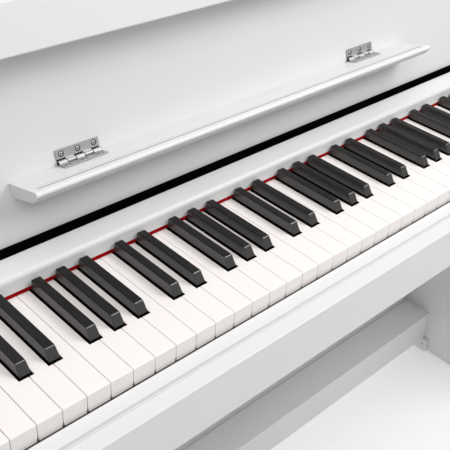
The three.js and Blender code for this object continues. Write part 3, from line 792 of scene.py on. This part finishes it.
# ---- fittings, controls, speakers and sockets ----
SURFACE = -0.05  # a part laid on a surface starts this far below it
BACK_SCREWS = [-620 + 155 * i for i in range(9)]
PORTS = {"inlet": -540, "data": -505, "audio": -465}
PORT_LEVEL = 25  # above the bottom of the socket plate
SCALE_MARKS = 11
KNOB_SWEEP = 280
RIBS = 36


def add_fittings():
    """Dished cam covers in the pedal beam, screws in the foot blocks and along the back."""
    _, beam_end, beam_front, beam_back, _, beam_top = spans("pedal_beam")
    beam_mid = (beam_front + beam_back) / 2 + 1.5
    dish_profile = [(8.2, -2.6), (8.6, -0.2), (8.9, 0.05), (8.9, 2)]
    cover_profile = [(7.6, 0), (7.6, 1.2), (7.1, 1.7), (5.6, 1.5), (3.6, 0.9), (0.6, 0.7)]
    dishes = []
    for label, side, facing in (("left", -1, "X"), ("right", 1, "-X")):
        x = side * (beam_end - 16)
        dishes.append(put(turned(dish_profile, 40), WORLD, x, beam_mid, beam_top))
        cover = put(turned(cover_profile, 40), WORLD, x, beam_mid, beam_top - 2.6)
        piece(f"{label}_cam_cover", cover, WHITE, "cabinet")
        node = f"{label}_foot_block"
        x0, x1, front, _, bottom, _ = spans(node)
        inner = min(abs(x0), abs(x1))
        y, z = front + 10, bottom + 17.5
        hole = put(turned([(2.6, -5), (2.6, 3)], 24), WORLD, side * inner, y, z, facing)
        piece(f"{node}_painted", cut(rounded(cad_shape(node), 1.2), hole), WHITE, "cabinet",
              [node])
        # the head sits deep in the hole, and its near-black colour also paints the shade in the
        # hole
        head = screw(WORLD, side * (inner + 3.0), y, z, facing, 2.5)
        piece(f"{label}_foot_screw", head, DARK_STEEL_AND_SHADE, "cabinet")
    beam = rounded(cad_shape("pedal_beam"), 1.4)
    piece("pedal_beam_painted", cut(beam, *dishes), WHITE, "cabinet",
          ["pedal_beam"])
    _, _, _, board_face, board_bottom, board_top = spans("back_board")
    _, _, _, panel_face, panel_bottom, _ = spans("rear_panel")
    rows = ((board_face, board_bottom + 14), (board_face, board_top - 14),
            (panel_face, panel_bottom + 12))
    heads = [screw(WORLD, x, face - 0.1, z, "Y", 3.6, 1.2) for x in BACK_SCREWS
             for face, z in rows]
    piece("back_screws", merge(*heads), SCREW, "cabinet")


def round_part(node):
    """The middle, radius, bottom and top of an upright round CAD node, in millimetres."""
    x0, x1, y0, y1, bottom, top = spans(node)
    return (x0 + x1) / 2, (y0 + y1) / 2, (x1 - x0) / 2, bottom, top


def add_controls():
    """The power button with its lamp, and the ribbed volume knob with its scale."""
    deck = spans("right_cheek_block")[5] + SURFACE
    x, y, radius, bottom, top = round_part("power_button")
    profile = [(radius, bottom), (radius, top - 1.2), (radius - 0.4, top - 0.4),
               (radius - 1.2, top), (radius - 3.0, top - 0.5), (0.5, top - 0.7)]
    piece("power_button_cap", put(turned(profile, 40), WORLD, x, y, 0), BLACK, "power_button",
          ["power_button"])
    ring = cut(turned([(radius + 2.6, 0), (radius + 2.6, 0.4), (radius + 2.1, 0.8)], 48),
               turned([(radius + 0.6, -1), (radius + 0.6, 2)], 48))
    piece("power_button_ring", put(ring, WORLD, x, y, deck), GREY, "cabinet")
    lamp = turned([(1.3, 0), (1.3, 0.3), (0.8, 0.6)], 20)
    piece("power_lamp", put(lamp, WORLD, x, y + radius + 6, deck), GREY, "cabinet")

    x, y, radius, bottom, top = round_part("volume_knob")
    skirt = top - 6.1

    def ribs(angle):
        return radius - 0.45 + 0.4 * math.cos(RIBS * angle)

    profile = [(3, bottom), (3, skirt), (radius, skirt), (radius, skirt + 0.9),
               (ribs, skirt + 1), (ribs, top - 0.9), (radius - 1.3, top),
               (radius - 2.6, top - 0.4), (0.5, top - 0.4)]
    knob = put(turned(profile, 4 * RIBS), WORLD, x, y, 0)
    piece("volume_knob_cap", knob, BLACK, "volume_knob", ["volume_knob"])
    mark = block(WORLD, x - 0.6, x + 0.6, y + radius * 0.35, y + radius - 2.8, top - 0.6,
                 top - 0.15)
    piece("volume_mark", rounded(mark, 0.15, 2), GREY, "volume_knob")
    dots = []
    for i in range(SCALE_MARKS):
        angle = math.radians(90 + KNOB_SWEEP / 2 - KNOB_SWEEP / (SCALE_MARKS - 1) * i)
        size = 0.55 + 0.05 * i
        dots.append(put(turned([(size, 0), (size, 0.15)], 16), WORLD,
                        x + (radius + 4) * math.cos(angle), y + (radius + 4) * math.sin(angle),
                        deck))
    piece("volume_scale", merge(*dots), GREY, "cabinet")


def add_speakers():
    """A dust cap, a cone and a rolled surround in each driver's mouth, and a magnet behind."""
    for label in ("left", "right"):
        node = f"{label}_speaker"
        x, y, flange, mouth, top = round_part(node)
        throat = flange - 5
        profile = [(0.5, mouth + 9), (7, mouth + 8), (8, mouth + 11), (throat - 5, mouth + 2.5),
                   (throat - 3.2, mouth + 1.2), (throat - 1.4, mouth + 2.2),
                   (throat, mouth + 0.6), (throat, mouth + 17.3), (flange, mouth + 17.3),
                   (flange, mouth + 20), (20, top - 12), (20, top), (0.5, top)]
        piece(f"{node}_driver", put(turned(profile, 48), WORLD, x, y, 0), BLACK, "cabinet",
              [node])


def add_sockets():
    """Contacts inside the three ports on the back, and a screw at each end of the plate."""
    _, _, _, face, bottom, _ = spans("socket_plate")
    level = bottom + PORT_LEVEL
    floor = face - 8.9  # how deep the ports go
    pin = put(turned([(1.1, 0), (1.1, 6.5), (0.7, 7)], 20), WORLD, PORTS["inlet"], floor, level,
              "Y")
    piece("inlet_pin", pin, SCREW, "cabinet")
    tongue = block(WORLD, PORTS["data"] - 4.5, PORTS["data"] + 4.5, floor, face - 1.5,
                   level + 0.5, level + 2.3)
    piece("data_tongue", rounded(tongue, 0.2, 2), GREY, "cabinet")
    collar = cut(turned([(4.6, 0), (4.6, 1.4), (4.2, 1.8)], 32),
                 turned([(3.1, -1), (3.1, 3)], 32))
    put(collar, WORLD, PORTS["audio"], face - 2.2, level, "Y")
    piece("audio_collar", collar, SCREW, "cabinet")
    heads = [screw(WORLD, x, face - 0.1, level + 18, "Y", 2.4, 0.8) for x in (-553, -437)]
    piece("socket_screws", merge(*heads), SCREW, "cabinet")


# ---- the setting ----
FLOOR_HALF = 25.0  # metres
LENS = 67.5
SENSOR = 36
SHIFT_X, SHIFT_Y = -0.0973, -0.0416
CAMERA_PLACE = (-0.6218, -0.5808, 1.2473)
CAMERA_RIGHT = (0.7076, -0.7030, 0.0713)
CAMERA_AHEAD = (0.6195, 0.5686, -0.5412)
WORLD_LIGHT = 0.26
LIGHTS = {  # where each stands, what it faces, its width and height in metres, and its watts
    "overhead_softbox": ((0, -0.2, 2.6), (0, 0, 0.7), (2.6, 1.6), 18.5),
    "treble_softbox": ((0.9, -0.9, 1.9), (0.3, 0, 0.8), (0.9, 0.7), 16.5),
    "bass_softbox": ((-0.9, -0.9, 1.9), (-0.3, 0, 0.8), (0.9, 0.7), 6),
    "rear_softbox": ((0, 2.8, 1.9), (0, 0, 0.5), (2.6, 1.6), 24),
}


def add_floor():
    mesh = bpy.data.meshes.new("floor")
    corners = [(x * FLOOR_HALF, y * FLOOR_HALF, 0)
               for x, y in ((-1, -1), (1, -1), (1, 1), (-1, 1))]
    mesh.from_pydata(corners, [], [(0, 1, 2, 3)])
    floor = bpy.data.objects.new("floor", mesh)
    bpy.context.scene.collection.objects.link(floor)
    paint = Paint("pale_floor", (0.96, 0.96, 0.965), 0.7, Emission_Strength=0.18)
    paint.vary_colour(paint.noise(2, 2), (0.97, 0.97, 0.975))
    paint.set("Emission Color", (1, 1, 1, 1))
    mesh.materials.append(paint.material)


def add_light(name, location, target, size, power):
    data = bpy.data.lights.new(name, "AREA")
    data.shape = "RECTANGLE"
    data.size, data.size_y = size
    data.energy = power
    light = bpy.data.objects.new(name, data)
    light.location = location
    aim = Vector(target) - Vector(location)
    light.rotation_euler = aim.to_track_quat("-Z", "Y").to_euler()
    bpy.context.scene.collection.objects.link(light)


def add_lights():
    world = bpy.data.worlds.new("studio")
    world.use_nodes = True
    background = world.node_tree.nodes["Background"]
    background.inputs["Color"].default_value = (1, 1, 1, 1)
    background.inputs["Strength"].default_value = WORLD_LIGHT
    bpy.context.scene.world = world
    for name, (location, target, size, power) in LIGHTS.items():
        add_light(name, location, target, size, power)
    bpy.context.scene.view_settings.view_transform = "Standard"
    bpy.context.scene.view_settings.exposure = 0.0


def add_camera():
    """A camera in front of the bass end, looking down across the keys to the treble foot."""
    data = bpy.data.cameras.new("camera")
    data.lens = LENS
    data.sensor_width = SENSOR
    data.shift_x, data.shift_y = SHIFT_X, SHIFT_Y
    camera = bpy.data.objects.new("camera", data)
    right = Vector(CAMERA_RIGHT).normalized()
    ahead = Vector(CAMERA_AHEAD).normalized()
    up = right.cross(ahead).normalized()
    right = ahead.cross(up)
    turn = Matrix((right, up, -ahead)).transposed().to_4x4()
    camera.matrix_world = Matrix.Translation(CAMERA_PLACE) @ turn
    bpy.context.scene.collection.objects.link(camera)
    bpy.context.scene.camera = camera


add_camera()
add_floor()
add_lights()
add_boards()
add_front_rails()
add_fascia()
add_keys()
add_ledge()
add_ledge_hinges()
add_hinge_slit_shade()
add_plain_pieces()
add_fittings()
add_controls()
add_speakers()
add_sockets()

bpy.context.view_layer.update()
